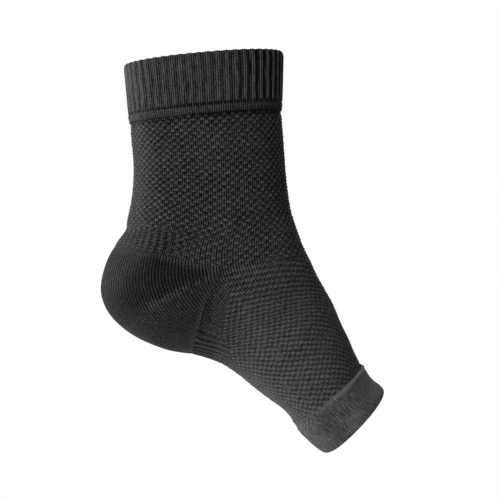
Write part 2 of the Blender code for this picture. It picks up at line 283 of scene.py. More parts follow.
# %% [markdown]
# ## One smooth surface
#
# A place runs from 0 at the rim to the last section at the toe edge, and a turn runs round the sleeve from
# 0 at the back to 0.5 at the front, negative on the far side. The surface is worked out once as a fine table
# of points, and every stitch is then looked up in it. That is much faster than working out each point anew.

# %% Surface table
PLACES_PER_SECTION = 20
HALF_TURNS = 200
OVAL_SAMPLES = 180
TABLE_MARGIN = 4


def sections_at(places):
    """Section values at places, along a Catmull-Rom curve through the sections."""
    ends = np.vstack([2 * SECTIONS[0] - SECTIONS[1], SECTIONS, 2 * SECTIONS[-1] - SECTIONS[-2]])
    step = np.clip(np.floor(places), 0, LAST_SECTION - 1).astype(int)
    share = (places - step)[:, None]
    before, here, there, after = (ends[step + k] for k in range(4))
    square, cube = share**2, share**3
    return (
        here * (2 * cube - 3 * square + 1)
        + (there - before) * 0.5 * (cube - 2 * square + share)
        + there * (3 * square - 2 * cube)
        + (after - here) * 0.5 * (cube - square)
    )


def oval_points(section):
    """Points round one section, even distances of cloth apart, from the front over the near side and back."""
    back, front = section[0:2], section[2:4]
    half_breadth, fullness, squareness = section[4:7]
    angle = np.linspace(0, np.pi, OVAL_SAMPLES + 1)
    cosine, sine = np.cos(angle), np.clip(np.sin(angle), 0, 1)
    power = 2 / squareness
    forward = -np.sign(cosine) * np.abs(cosine) ** power
    sideways = sine**power * (1 + fullness * cosine) * half_breadth
    middle, half = (back + front) / 2, (front - back) / 2
    points = np.stack([middle[0] + half[0] * forward, -sideways, middle[1] + half[1] * forward], axis=1)
    lengths = np.concatenate([[0], np.cumsum(np.linalg.norm(np.diff(points, axis=0), axis=1))])
    wanted = np.linspace(0, lengths[-1], HALF_TURNS + 1)
    near = np.stack([np.interp(wanted, lengths, points[:, k]) for k in range(3)], axis=1)
    far = near[:0:-1] * (1, -1, 1)
    return np.concatenate([far, near[:-1]])


table_rows = np.arange(-TABLE_MARGIN, LAST_SECTION * PLACES_PER_SECTION + TABLE_MARGIN + 1)
TABLE_PLACES = table_rows / PLACES_PER_SECTION
SURFACE = np.array([oval_points(section) for section in sections_at(TABLE_PLACES)])
along_cloth = np.gradient(SURFACE, axis=0)
across_cloth = (np.roll(SURFACE, -1, axis=1) - np.roll(SURFACE, 1, axis=1)) / 2
OUTWARD = np.cross(along_cloth, across_cloth)
OUTWARD /= np.linalg.norm(OUTWARD, axis=2, keepdims=True)
print("surface table:", SURFACE.shape[0], "places by", SURFACE.shape[1], "turns")


# %% Look-up in the table
def look_up(table, places, turns):
    """Values of a table at arrays of places and turns, in a straight line between its entries."""
    # A row stays just short of the last one, so that there is always a next one.
    row = np.clip((places - TABLE_PLACES[0]) * PLACES_PER_SECTION, 0, len(TABLE_PLACES) - 1.001)
    column = ((turns + 0.5) % 1.0) * HALF_TURNS * 2
    i, j = np.floor(row).astype(int), np.floor(column).astype(int)
    r, c = (row - i)[..., None], (column - j)[..., None]
    j, after = j % (HALF_TURNS * 2), (j + 1) % (HALF_TURNS * 2)
    low = table[i, j] * (1 - c) + table[i, after] * c
    high = table[i + 1, j] * (1 - c) + table[i + 1, after] * c
    return low * (1 - r) + high * r


def cloth_points(places, turns, lift):
    """Points of the cloth, lifted off the surface by an array of distances."""
    normal = look_up(OUTWARD, places, turns)
    normal /= np.linalg.norm(normal, axis=-1, keepdims=True)
    return look_up(SURFACE, places, turns) + normal * np.asarray(lift)[..., None]


print("the rim's hindmost point is at", look_up(SURFACE, np.zeros(1), np.zeros(1))[0].round(3), "m")


# %% Places by distance
LEG_CUFF_HEIGHT = 32.5 * MM
LEG_CUFF_LIP = 5.0 * MM
TOE_CUFF_LENGTH = 21.5 * MM
TOE_CUFF_LIP = 3.0 * MM
SEARCH_STEPS = 2001
PAST_END = 0.15


def place_where(distance, axis_point, low, high):
    """The place whose section's middle lies at a distance along an axis of the side view."""
    places = np.linspace(low, high, SEARCH_STEPS)
    sections = sections_at(places)
    reach = (sections[:, 0:2] + sections[:, 2:4]) / 2 @ np.array(axis_point)
    if reach[-1] < reach[0]:
        reach, places = reach[::-1], places[::-1]
    return float(np.interp(distance, reach, places))


def leg_place(below_rim):
    """The place on the leg at a distance below the rim."""
    ankle_top = SECTION_NAMES.index("ankle_top")
    return place_where(LEG_RISE - below_rim, leg_point(1.0, 0.0), -PAST_END, ankle_top)


def toe_place(behind_edge):
    """The place on the foot at a distance behind the toe edge."""
    arch_back = SECTION_NAMES.index("arch_back")
    return place_where(FOOT_REACH - behind_edge, foot_point(1.0, 0.0), arch_back, LAST_SECTION + PAST_END)


print("the leg cuff ends at place", round(leg_place(LEG_CUFF_HEIGHT), 2))
print("the toe cuff starts at place", round(toe_place(TOE_CUFF_LENGTH), 2))

# %% [markdown]
# ## Where the knits meet
#
# The heel is a pocket that narrows to a tip on each side of the ankle. Above and below it the leg's and the
# foot's knit run past, and in front of the tips they meet each other. The same two curves give all three
# pieces their edges, so they fit without a gap.

# %% Heel pocket edges
POCKET_TURN = 16 / 56
POCKET_TIP = SECTION_NAMES.index("heel_upper") + 0.2
LEG_EDGE_BACK = SECTION_NAMES.index("ankle_bones") + 0.25
FOOT_EDGE_SOLE = SECTION_NAMES.index("heel_pad") + 0.9
LEG_EDGE_CURVE = 2.2
FOOT_EDGE_CURVE = 2.3
COLUMN_STEPS = 120
NO_LENGTH = 1e-9


def leg_edge(turns):
    """The place where the leg's knit ends."""
    share = np.minimum(np.abs(turns) / POCKET_TURN, 1.0)
    return LEG_EDGE_BACK + (POCKET_TIP - LEG_EDGE_BACK) * share**LEG_EDGE_CURVE


def foot_edge(turns):
    """The place where the foot's knit begins."""
    share = np.minimum(np.abs(turns) / POCKET_TURN, 1.0)
    return FOOT_EDGE_SOLE + (POCKET_TIP - FOOT_EDGE_SOLE) * share**FOOT_EDGE_CURVE


def even_places(turns, start, stop, rows):
    """Places in each column from start to stop, even distances of cloth apart, and each column's length."""
    fine = np.linspace(0, 1, COLUMN_STEPS + 1)
    places = start[:, None] + (stop - start)[:, None] * fine
    points = look_up(SURFACE, places, turns[:, None] + 0 * places)
    steps = np.linalg.norm(np.diff(points, axis=1), axis=2)
    lengths = np.concatenate([np.zeros((len(turns), 1)), np.cumsum(steps, axis=1)], axis=1)
    shares = lengths / np.maximum(lengths[:, -1:], NO_LENGTH)
    wanted = np.linspace(0, 1, rows + 1)
    even = np.array([np.interp(wanted, shares[k], places[k]) for k in range(len(turns))])
    return even, lengths[:, -1]


print("the pocket's tips are at turn", round(POCKET_TURN, 3))


# %% The way round
GIRTH_STEPS = 400


def girth_at(place, share=1.0):
    """The way round the sleeve at a place, or round a share of it, half of that to each side of the back."""
    turns = np.linspace(-share / 2, share / 2, GIRTH_STEPS + 1)
    points = look_up(SURFACE, turns * 0 + place, turns)
    return float(np.linalg.norm(np.diff(points, axis=0), axis=1).sum())


leg_girth = girth_at(SECTION_NAMES.index("narrows"))
print("the way round the leg is", round(leg_girth, 3), "m where it's narrowest")

# %% [markdown]
# ## From rows of points to cloth
#
# A piece of knit is a closed skin: its face, an edge, its inner side and the other edge. It could be shaped
# from a tube by hand, but its relief repeats hundreds of times and has to follow the form, so its points are
# laid on the surface by formulas. They come in columns, which are closed loops, and the skin is stitched
# between each column and the next. Two layers of data go with it: a UV map that counts stitches, so that one
# unit is one stitch, and a relief value, which tells the yarn's material how light or dark a point is.

# %% Steps, humps and ripples
def smooth_step(value, low, high):
    """0 below low, 1 above high, and a smooth way between them."""
    share = np.clip((value - low) / (high - low), 0, 1)
    return share * share * (3 - 2 * share)


def smooth_fall(value, low, high):
    """1 below low, 0 above high, and a smooth way between them."""
    return 1 - smooth_step(value, low, high)


def hump(distance, width):
    """1 at distance 0, and less and less to both sides of it."""
    return np.exp(-((distance / width) ** 2))


def ripple(count):
    """1 at each whole number and 0 half way between them."""
    return 0.5 + 0.5 * np.cos(2 * np.pi * count)


def blend(value, target, share):
    """A value moved towards a target by a share of the way."""
    return value + (target - value) * share


print("a quarter of the way up, a smooth step is at", smooth_step(0.25, 0, 1))


# %% Cloth builder
def make_cloth(name, points, stitches, relief, all_round):
    """A skin from points[column, point round the loop]. Where it isn't all round, its two ends are closed."""
    columns, loop = points.shape[:2]
    first = np.arange(columns if all_round else columns - 1)
    second = (first + 1) % columns
    here = np.arange(loop)
    after = (here + 1) % loop
    corners = ((first, here), (first, after), (second, after), (second, here))
    quads = np.stack([side[:, None] * loop + point for side, point in corners], axis=-1).reshape(-1, 4)
    right = stitches[second].copy()
    if all_round:
        # The last column meets the first, and the map goes on counting there instead of starting anew.
        right[-1, :, 0] += np.round(2 * stitches[-1, 0, 0] - stitches[-2, 0, 0] - stitches[0, 0, 0])
    left = stitches[first]
    uv = np.stack([left, np.roll(left, -1, axis=1), np.roll(right, -1, axis=1), right], axis=2).reshape(-1, 2)
    if not all_round:
        half = loop // 2
        low, high = np.arange(half - 1), loop - 1 - np.arange(half - 1)
        start = np.stack([low, high, high - 1, low + 1], axis=-1)
        end = start[:, ::-1] + (columns - 1) * loop
        quads = np.concatenate([quads, start, end])
        flat = stitches.reshape(-1, 2)
        uv = np.concatenate([uv, flat[start.reshape(-1)], flat[end.reshape(-1)]])
    mesh = bpy.data.meshes.new(name)
    mesh.vertices.add(columns * loop)
    mesh.vertices.foreach_set("co", points.reshape(-1).astype(np.float32))
    mesh.loops.add(quads.size)
    mesh.loops.foreach_set("vertex_index", quads.reshape(-1).astype(np.int32))
    mesh.polygons.add(len(quads))
    mesh.polygons.foreach_set("loop_start", np.arange(0, quads.size, 4, dtype=np.int32))
    mesh.update(calc_edges=True)
    layer = mesh.uv_layers.new(name="stitches")
    layer.data.foreach_set("uv", uv.reshape(-1).astype(np.float32))
    # The relief value sets the tone: pits and gaps are painted dark as shade, and it also carries each
    # piece's painted light and shade.
    value = mesh.attributes.new("relief", "FLOAT", "POINT")
    value.data.foreach_set("value", relief.reshape(-1).astype(np.float32))
    mesh.validate()
    mesh.shade_smooth()
    piece = bpy.data.objects.new(name, mesh)
    bpy.context.scene.collection.objects.link(piece)
    print(name, "has", len(mesh.polygons) * 2, "triangles")
    return piece


def finish_cloth(piece, node, flat):
    """Puts the cloth in its node's place and says what it was cut from."""
    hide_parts(node)
    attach(piece, "root")
    print(piece.name, "is cut from", round(flat[0] * 1000), "mm by", round(flat[1] * 1000, 1), "mm")


print("the knit's wall is", round(WALL * 1000, 1), "mm thick")

# %% [markdown]
# ## Tuck stitch
#
# In a tuck knit a needle holds its stitch for a row while its neighbour knits, so small pillows stand out
# in a chequerboard. There are 100 of them round the sleeve. Bump alone would leave the outline smooth and
# the pillows flat in raking light, so they are real relief, three quarters of a millimetre high, and only
# the single yarns are left to the material. Worn knit is never quite even, so each pillow has its own
# height, the rows shift a little sideways, and the whole cloth has slow waves.

# %% Tuck relief
PILLOWS_ROUND = 100
PILLOW_HEIGHT = 0.75 * MM
PILLOW_SHARPNESS = 1.1
PILLOW_SCATTER = 0.4


def scatter(column, row):
    """A fixed, uneven number from 0 to 1 for each pillow: the digits behind the point of a large sine."""
    seed = np.sin(np.round(column) * 12.9898 + np.round(row) * 78.233) * 43758.5453
    return seed - np.floor(seed)


def pillows(column, row, twist):
    """From 0 between pillows to 1 on top of one. Twist runs them together along one diagonal."""
    wave = (0.5 - twist) * np.cos(np.pi * (column + row)) + (0.5 + twist) * np.cos(np.pi * (column - row))
    height = 0.5 + 0.5 * np.sign(wave) * np.abs(wave) ** PILLOW_SHARPNESS
    return height * (0.9 + PILLOW_SCATTER * (scatter(column, row) - 0.5) * np.clip(wave, 0, 1))


print("one pillow is", round(leg_girth * 1000 / PILLOWS_ROUND, 2), "mm wide on the leg")


# %% Unevenness of worn cloth
def wander(turns, along, size):
    """Slow unevenness of hand-stretched cloth, about -1 to 1, in waves that don't repeat together."""
    angle = 2 * np.pi * turns
    return (
        np.sin(3 * angle + along / size * 1.7)
        + np.sin(7 * angle - along / size * 2.9 + 1.3)
        + np.sin(13 * angle + along / size * 4.1 + 2.1) * 0.6
    ) / 2.6


def uneven_rows(turns, course):
    """Small sideways shifts of the pillows, in columns."""
    broad = 0.09 * np.sin(2 * np.pi * (turns * 31 + course * 0.13))
    return broad + 0.07 * np.sin(2 * np.pi * (turns * 47 - course * 0.21))


print("a pillow at the back is shifted by", round(float(uneven_rows(0.0, 2.0)), 3), "of its width")

# %% [markdown]
# ## Leg
#
# The leg is a tube of tuck knit. Its face fades into wavy slanting ribs over the Achilles tendon, where the
# heel pulls it, and into short straight ribs above the pocket's tip. In front of the tips it meets the
# foot's knit, and there both come down to one even height, so the join stays quiet. Four rows of points to
# a course are just enough to round a pillow. Each feature is one more blend of the relief, so it can be
# changed alone.

# %% Rows of the leg
LEG_COLUMNS = 400
LEG_COURSES = 46
LEG_POINTS_PER_COURSE = 4

turns = np.arange(LEG_COLUMNS) / LEG_COLUMNS - 0.5
rows = LEG_COURSES * LEG_POINTS_PER_COURSE
leg_top = leg_place(LEG_CUFF_HEIGHT - LEG_CUFF_LIP + CLEARANCE)
places, lengths = even_places(turns, turns * 0 + leg_top, leg_edge(turns), rows)
course = np.linspace(0, LEG_COURSES, rows + 1)[None, :] + 0 * places
turn = turns[:, None] + 0 * places
off_back = np.abs(turn)
down = course / LEG_COURSES
from_top = down * lengths[:, None]
to_pocket = (1 - down) * lengths[:, None]
column = turn * PILLOWS_ROUND
print("leg courses are", round(float(lengths.mean()) / LEG_COURSES * 1000, 2), "mm apart")

# %% Leg relief
LEG_TWIST = -0.08
JOIN_HEIGHT = 0.48
JOIN_SHARE = 0.6


def near_instep_join(turns, distance):
    """1 where the leg's and the foot's knit meet in front of the pocket's tip, fading out over 6 mm."""
    beside_tip = smooth_step(np.abs(turns), 0.27, 0.30) * smooth_fall(np.abs(turns), 0.37, 0.44)
    return beside_tip * smooth_fall(distance, 0, 6 * MM)


tuck = pillows(column + uneven_rows(turn, course), course, LEG_TWIST)
behind = smooth_fall(off_back, 0.15, 0.27)
toward_heel = smooth_step(down, 0.74, 0.90)
bends = 0.9 * np.sin(course * 0.55)
slanting = 0.5 + 0.4 * np.sin(2 * np.pi * (np.abs(column) * 0.58 - course * 0.07) + bends)
above_tip = smooth_step(off_back, 0.215, 0.245) * smooth_fall(off_back, 0.30, 0.33)
toward_tip = smooth_step(down, 0.80, 0.87)
over_pocket = smooth_fall(off_back, POCKET_TURN, POCKET_TURN + 0.01)
at_pocket = smooth_fall(to_pocket, 0.3 * MM, 2.4 * MM) * over_pocket
leg_relief = blend(tuck, slanting * 0.65 + 0.1, behind * toward_heel * 0.8)
leg_relief = blend(leg_relief, 0.15 + 0.8 * ripple(column), above_tip * toward_tip * 0.3)
leg_relief = blend(leg_relief, 0.42, at_pocket)
leg_relief = blend(leg_relief, JOIN_HEIGHT, near_instep_join(turn, to_pocket) * JOIN_SHARE)
print("leg relief runs from", round(float(leg_relief.min()), 2), "to", round(float(leg_relief.max()), 2))

# %% Leg tone and lift
MIDDLE_HEIGHT = 0.45
LEG_CONTRAST = 0.95
LEG_DARKER = 0.13
HEM_SHADOW = 0.42
FRONT_LIGHTER = 0.16
BESIDE_BACK_DARKER = 0.07
LEG_WAVES = 0.25 * MM

# It's darkest in a painted soft shadow under the cuff's hem, lighter low in front and darker beside the back.
under_hem = smooth_fall(from_top - LEG_CUFF_LIP, 0.3 * MM, 3.2 * MM)
under_hem *= 0.55 + 0.45 * smooth_step(off_back, 0.20, 0.36)
leg_tone = MIDDLE_HEIGHT + (leg_relief - MIDDLE_HEIGHT) * LEG_CONTRAST - LEG_DARKER - HEM_SHADOW * under_hem
leg_tone += FRONT_LIGHTER * smooth_step(off_back, 0.29, 0.42) * smooth_step(down, 0.55, 0.85)
leg_tone -= BESIDE_BACK_DARKER * smooth_step(off_back, 0.06, 0.10) * smooth_fall(off_back, 0.16, 0.24)
out_of_cuff = smooth_step(course, 2.6, 3.6)
leg_lift = PILLOW_HEIGHT * (leg_relief - MIDDLE_HEIGHT) * out_of_cuff * (1 - 0.35 * behind * toward_heel)
leg_lift += LEG_WAVES * wander(turn, from_top, 0.03) * smooth_step(course, 4, 9) * (1 - down)
print("leg pillows stand out up to", round(float(leg_lift.max()) * 1000, 2), "mm")

# %% Inner side of a tube and its skin
WALES_ROUND = 200
INNER_ROWS = 30
INNER_TONE = 0.35


def make_tube(name, turns, places, lift, relief, course):
    """A tube of cloth from its face, with a plain inner side of fewer rows."""
    pick = np.linspace(places.shape[1] - 1, 0, INNER_ROWS + 1).round().astype(int)
    turn = turns[:, None]
    face = cloth_points(places, turn + 0 * places, lift)
    inside = cloth_points(places[:, pick], turn + 0 * pick, 0 * places[:, pick] - WALL)
    count = np.concatenate([course, course[:, pick]], axis=1)
    stitches = np.stack([turn * WALES_ROUND + 0 * count, count], axis=-1)
    tone = np.concatenate([relief, 0 * places[:, pick] + INNER_TONE], axis=1)
    return make_cloth(name, np.concatenate([face, inside], axis=1), stitches, tone, True)


leg_sleeve = make_tube("leg_knit", turns, places, leg_lift, leg_tone, course)
finish_cloth(leg_sleeve, "leg_sleeve", (leg_girth, float(lengths.mean())))

# %% [markdown]
# ## Foot
#
# The foot's tube has the same tuck knit, drawn out along the other diagonal. Beside the heel pocket a strip
# stays plain and darker, with small slanting creases near the sole, and under the arch the pillows run
# together into ridges along the foot. Its courses are counted back from the toes, so that the last ones run
# on into the toe cuff without a break.

# %% Rows of the foot
FOOT_COLUMNS = 400
FOOT_COURSES = 58
FOOT_COURSE = 1.62 * MM
FOOT_POINTS_PER_COURSE = 3
SEAM = 0.004  # the share of a section's length that parts two neighbours

turns = np.arange(FOOT_COLUMNS) / FOOT_COLUMNS - 0.5
rows = FOOT_COURSES * FOOT_POINTS_PER_COURSE
foot_end = toe_place(TOE_CUFF_LENGTH - TOE_CUFF_LIP + CLEARANCE)
places, lengths = even_places(turns, foot_edge(turns) + SEAM, turns * 0 + foot_end, rows)
turn = turns[:, None] + 0 * places
off_back = np.abs(turn)
distance = np.linspace(0, 1, rows + 1)[None, :] * lengths[:, None]
course = FOOT_COURSES - (lengths[:, None] - distance) / FOOT_COURSE
column = turn * PILLOWS_ROUND
shortest, longest = round(float(lengths.min()) * 1000), round(float(lengths.max()) * 1000)
print("foot columns are", shortest, "to", longest, "mm long")

# %% Foot relief
FOOT_TWIST = 0.10
PLAIN_STRIP = 13.0 * MM

tuck = pillows(column + uneven_rows(turn, course), course, FOOT_TWIST)
beside_pocket = smooth_fall(off_back, POCKET_TURN - 0.03, POCKET_TURN + 0.02)
plain = beside_pocket * smooth_fall(distance, PLAIN_STRIP - 3 * MM, PLAIN_STRIP + 1 * MM)
near_sole = smooth_step(off_back, 0.13, 0.17) * smooth_fall(off_back, 0.22, 0.26)
slanting = 0.5 + 0.5 * np.sin(2 * np.pi * (distance / (2.6 * MM) + 9 * turn))
creases = 0.6 * near_sole * slanting * smooth_fall(distance, 2 * MM, 7 * MM)
under_arch = smooth_fall(off_back, 0.12, 0.22) * smooth_fall(distance, 12 * MM, 26 * MM)
foot_relief = blend(tuck, 0.42 + 0.16 * smooth_step(distance, 0, 8 * MM) - 0.3 * creases, plain)
foot_relief = blend(foot_relief, 0.08 + 0.8 * ripple(column * 0.5), under_arch * 0.85)
foot_relief = blend(foot_relief, JOIN_HEIGHT, near_instep_join(turn, distance) * JOIN_SHARE)
print("foot relief runs from", round(float(foot_relief.min()), 2), "to", round(float(foot_relief.max()), 2))

# %% Foot tone and lift
FOOT_CONTRAST = 1.1
FOOT_DARKER = 0.08
AWAY_LIGHTER = 0.26
PLAIN_DARKER = 0.17
SOLE_PAINTED_LIGHT = 0.14
FOOT_WAVES = 0.2 * MM

# The knit is lighter away from the pocket, lighter on the sole as painted light, and darker in the plain
# strip, partly as plain knit and partly as painted shade.
before_tip = 0.65 * smooth_step(off_back, POCKET_TURN, 0.34)
away = np.maximum(smooth_step(distance, 2 * MM, 30 * MM), before_tip)
at_sole = smooth_fall(off_back, 0.08, 0.17) * smooth_step(distance, 20 * MM, 40 * MM)
foot_tone = MIDDLE_HEIGHT + (foot_relief - MIDDLE_HEIGHT) * FOOT_CONTRAST - FOOT_DARKER
foot_tone += AWAY_LIGHTER * away - PLAIN_DARKER * plain + SOLE_PAINTED_LIGHT * at_sole
into_cuff = smooth_step(FOOT_COURSES - course, 1.6, 2.6)
foot_lift = PILLOW_HEIGHT * (foot_relief - MIDDLE_HEIGHT) * into_cuff * (1 - 0.6 * plain * (1 - under_arch))
foot_lift += FOOT_WAVES * wander(turn, distance, 0.03) * smooth_step(distance, 0, 20 * MM) * into_cuff
print("foot pillows stand out up to", round(float(foot_lift.max()) * 1000, 2), "mm")

# %% Foot sleeve
foot_sleeve = make_tube("foot_knit", turns, places, foot_lift, foot_tone, course)
foot_girth = girth_at(SECTION_NAMES.index("arch_front"))
finish_cloth(foot_sleeve, "foot_sleeve", (foot_girth, float(lengths.mean())))

# %% [markdown]
# ## Heel pocket
#
# The heel is knitted back and forth in plain stitches, first in shorter and shorter rows and then in longer
# ones. The two halves meet in a slanting line on each side, where the turns of the rows leave the stitches
# uneven. Counting the rows from both edges gives the same meeting line here. The upper half is drawn darker
# and in straight wales. The lower half is stretched by the heel's pad, and there every second row stands
# nearly half a stitch to the side, which gives its finer grain.

# %% Rows of the heel pocket
HEEL_COLUMNS = 456
HEEL_ROWS = 84
STITCH = 1.17 * MM

turns = np.linspace(-1, 1, HEEL_COLUMNS + 1) * POCKET_TURN
seam = np.minimum(SEAM, (foot_edge(turns) - leg_edge(turns)) * 0.2)
places, lengths = even_places(turns, leg_edge(turns) + seam, foot_edge(turns) - seam, HEEL_ROWS)
down = np.linspace(0, 1, HEEL_ROWS + 1)[None, :] + 0 * places
turn = turns[:, None] + 0 * places
distance = np.minimum(down, 1 - down) * lengths[:, None]
print("longest heel column", round(float(lengths.max()) * 1000, 1), "mm")

# %% Heel tone and lift
HEEL_TONE = -0.05
UPPER_DARKER = 0.155
EDGE_LIGHTER = 0.24
HEEL_WAVES = 0.3 * MM
GORE_LIGHTER = 0.13
GORE_SPOTTED = 0.55
GORE_WIDTH = 2.7 * MM
GORE_HEIGHT = 0.15 * MM
GORE_SPOTS_ROUND = 260
GORE_BUMPS_ROUND = 66

gore = hump(np.abs(down - 0.5) * lengths[:, None], GORE_WIDTH) * smooth_step(np.abs(turn), 0.10, 0.16)
spots = scatter(turn * GORE_SPOTS_ROUND, distance / STITCH) - 0.5
bumps = 0.5 + 0.5 * np.sin(2 * np.pi * turn * GORE_BUMPS_ROUND)
upper_half = smooth_fall(down, 0.40, 0.56)
# It's darker in the upper half, and lighter along both edges as painted light.
heel_tone = HEEL_TONE - UPPER_DARKER * upper_half + EDGE_LIGHTER * smooth_fall(distance, 0.3 * MM, 4 * MM)
heel_tone += gore * (GORE_LIGHTER + GORE_SPOTTED * spots)
edge_fade = smooth_step(distance, 0, 2.5 * MM)
heel_lift = GORE_HEIGHT * gore * (0.6 + 0.4 * bumps) * edge_fade
heel_lift += HEEL_WAVES * wander(turn, down * lengths[:, None], 0.02) * edge_fade
print("heel cloth stands out up to", round(float(heel_lift.max()) * 1000, 2), "mm")

# %% Heel pocket
HEEL_WALES = 160
ROW_SHIFT = 0.45

face = cloth_points(places, turn, heel_lift)
inside = cloth_points(places[:, ::-1], turn, 0 * places - WALL)
shifted = ROW_SHIFT * (np.arange(HEEL_ROWS + 1) % 2) * (1 - upper_half)
wales = np.concatenate([turn * HEEL_WALES + shifted, turn * HEEL_WALES], axis=1)
count = np.concatenate([distance, distance[:, ::-1]], axis=1) / STITCH
stitches = np.stack([wales, count], axis=-1)
tone = np.concatenate([heel_tone, 0 * heel_tone + INNER_TONE], axis=1)
heel_pocket = make_cloth("heel_knit", np.concatenate([face, inside], axis=1), stitches, tone, False)
heel_width = girth_at(SECTION_NAMES.index("heel_upper"), 2 * POCKET_TURN)
finish_cloth(heel_pocket, "heel_pocket", (heel_width, float(lengths.mean())))

# %% [markdown]
# ## Leg cuff
#
# The cuff is a rib knit, two stitches out and two stitches in, so it grips: 50 ribs stand round it. It is
# twice as long as it looks, folded over at the rim and linked down near its lower edge, which leaves a
# groove with a row of stitches. At the shin the ribs are deeper and broader, with narrow grooves between
# them, and behind they are pulled flatter. The cuff's profile is drawn once, from the hem up over the rim
# and down inside, and is swept round the leg, with the ribs as a wave. Ribs made one by one would all be
# alike, while a real rib drifts a little to the side on its way.

# %% Profile of the leg cuff
CUFF_LAYER = 1.0 * MM
CUFF_ROLL = 3.4 * MM
SEAT_GAP = CLEARANCE * 0.4


def rolled_edge(roll, outside, steps):
    """Distances and heights round a rolled edge, from the face to the inner side."""
    bend = np.linspace(0, np.pi, steps)[1:-1]
    return roll * (1 - np.sin(bend)), np.cos(bend) * (outside + WALL) / 2 + (outside - WALL) / 2


def join_profile(parts):
    """One array of distances from the edge and one of heights, from a profile's parts."""
    return [np.concatenate(values) for values in zip(*parts)]


link_at = LEG_CUFF_HEIGHT - LEG_CUFF_LIP
outside = CLEARANCE + CUFF_LAYER
band = np.linspace(LEG_CUFF_HEIGHT - 0.4 * MM, link_at + 0.8 * MM, 9)
groove = np.linspace(link_at + 0.6 * MM, link_at - 0.6 * MM, 5)
body = np.linspace(link_at - 0.8 * MM, CUFF_ROLL, 44)
lining = np.linspace(CUFF_ROLL, link_at, 16)
below, rise = join_profile(
    [
        ([LEG_CUFF_HEIGHT], [outside - 0.35 * MM]),
        (band, 0 * band + outside),
        (groove, 0 * groove + outside),
        (body, 0 * body + outside),
        rolled_edge(CUFF_ROLL, outside, 13),
        (lining, 0 * lining - WALL),
        ([link_at], [SEAT_GAP]),
        ([LEG_CUFF_HEIGHT - 0.2 * MM], [SEAT_GAP]),
    ]
)
print(len(below), "points round the cuff's profile")

# %% Band, groove and rim of the leg cuff
on_face = rise > 0.5 * outside
in_groove = hump(below - link_at, 0.7 * MM) * on_face
ribbed = smooth_step(link_at - below, 0.3 * MM, 1.8 * MM) * smooth_step(rise, -0.5 * WALL, outside)
banded = smooth_step(below - link_at, 0.6 * MM, 1.2 * MM) * on_face
rise = rise - banded * 0.5 * MM * smooth_step(below, link_at + 0.5 * MM, LEG_CUFF_HEIGHT)
near_rim = smooth_fall(below, 1.5 * MM, 5 * MM) * smooth_step(rise, -WALL, outside * 0.6)
print(int((in_groove > 0.5).sum()), "of them lie in the groove")

# %% Ribs
CUFF_COLUMNS = 800
RIBS_ROUND = 50
SCALLOP = 0.45 * MM

turns = np.arange(CUFF_COLUMNS) / CUFF_COLUMNS - 0.5
below_table = np.linspace(-1 * MM, LEG_CUFF_HEIGHT + 2 * MM, 60)
place_table = np.array([leg_place(value) for value in below_table])
scallop = SCALLOP * (1 - ripple(turns[:, None] * RIBS_ROUND)) * near_rim
places = np.interp(below[None, :] + scallop, below_table, place_table)
turn = turns[:, None] + 0 * places
at_shin = smooth_step(np.abs(turn), 0.26, 0.43)
drift = 0.07 * np.sin(2 * np.pi * (below / (21 * MM) + 9 * turn))
drift += 0.05 * np.sin(2 * np.pi * (below / (13 * MM) - 17 * turn))
two_by_two = np.cos(2 * np.pi * (turn * RIBS_ROUND + drift * ribbed * (1 - 0.6 * at_shin)))
firm_rib = 0.5 + 0.5 * np.tanh(1.9 * (two_by_two + 0.40))
rib = blend(0.5 + 0.5 * two_by_two, firm_rib, at_shin)
print("ribs are", round(girth_at(0) * 1000 / RIBS_ROUND, 2), "mm apart at the rim")

# %% Leg cuff tone and lift
LINK_STITCHES = 133
RIB_DEPTH = 1.05 * MM
CUFF_TONE = 0.13
HEM_PAINTED_SHADE = 0.36

# The grooves between the ribs and the band's rounded lower edge get painted shade, most of all at the shin.
# The link groove is darker at its row of stitches and with painted shade.
wale = turn * WALES_ROUND
single = 0.5 * np.cos(2 * np.pi * (wale - 0.5))
dots = ripple(turn * LINK_STITCHES) ** 1.6
rib_shade = ribbed * (0.34 + 1.05 * at_shin) * (rib - 0.62 - 0.12 * at_shin)
at_hem = smooth_step(below, link_at + 1.8 * MM, LEG_CUFF_HEIGHT)
hem_shade = banded * (0.06 * at_shin + HEM_PAINTED_SHADE * (0.5 + 0.5 * at_shin) * at_hem)
cuff_tone = CUFF_TONE + rib_shade - hem_shade + 0.5 * (ribbed + banded) * single
cuff_tone -= in_groove * (0.05 + 1.4 * dots)
cuff_lift = rise - ribbed * RIB_DEPTH * (0.4 + 0.6 * at_shin) * (1 - rib)
cuff_lift += (0.22 * ribbed + 0.2 * banded) * MM * single
cuff_lift -= in_groove * MM * (0.3 + 0.3 * dots)
print("the grooves between the ribs are up to", round(RIB_DEPTH * 1000, 2), "mm deep")

# %% Leg cuff
def count_along(distances, heights, stitch):
    """Stitches of one length, counted along a profile up to each of its points."""
    steps = np.hypot(np.diff(distances), np.diff(heights))
    return np.concatenate([[0], np.cumsum(steps)]) / stitch


stitches = np.stack([wale, count_along(below, rise, STITCH) + 0 * turn], axis=-1)
leg_cuff = make_cloth("leg_cuff_knit", cloth_points(places, turn, cuff_lift), stitches, cuff_tone, True)
cuff_girth = girth_at(SECTION_NAMES.index("cuff_middle"))
finish_cloth(leg_cuff, "leg_cuff", (cuff_girth, LEG_CUFF_HEIGHT))

# %% [markdown]
# ## Toe cuff
#
# The toe end is a fine plain band, swept from a profile as the leg cuff is. Where it starts, a welt of a few
# gathered rows stands up like piping over the top of the foot and dies away down its sides, and on the sole
# the last tuck rows run out unevenly into the band. Its stitches are drawn wider on the sole and over the
# foot than at the sides, so that their spacing looks even from the side, as it does on the real one.

# %% Profile of the toe cuff
TOE_COLUMNS = 800
TOE_LAYER = 0.7 * MM
TOE_ROLL = 1.6 * MM

